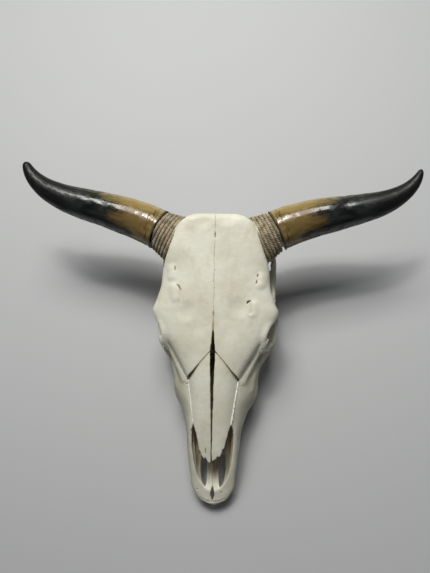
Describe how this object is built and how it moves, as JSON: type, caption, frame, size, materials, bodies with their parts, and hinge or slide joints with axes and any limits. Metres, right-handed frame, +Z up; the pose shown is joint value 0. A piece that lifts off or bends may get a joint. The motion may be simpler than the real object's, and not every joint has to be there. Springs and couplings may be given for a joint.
{
  "type": "cow skull",
  "caption": "Life-size cow skull without its lower jaw, with curved polished horns and rope bound round the horn bases, lying on its cheek teeth.",
  "frame": {"origin": "centre of the bounding box on the floor that the skull lies on", "axes": "+X towards the animal's left, +Y from the nose to the poll, +Z up out of the forehead"},
  "size_m": [0.6904, 0.5863, 0.21],
  "materials": {
    "bone": "matte",
    "horn": "polished",
    "jute": "matte"
  },
  "bodies": {
    "root": {"frontal_left": "bone", "frontal_right": "bone", "nasal_left": "bone", "nasal_right": "bone", "premaxilla_left": "bone", "premaxilla_right": "bone", "maxilla_left": "bone", "maxilla_right": "bone", "lacrimal_left": "bone", "lacrimal_right": "bone", "zygomatic_left": "bone", "zygomatic_right": "bone", "palatine_left": "bone", "palatine_right": "bone", "temporal_left": "bone", "temporal_right": "bone", "occipital": "bone", "sphenoid": "bone", "horn_left": "horn", "horn_right": "horn", "rope_left": "jute", "rope_right": "jute"}
  },
  "joints": []
}
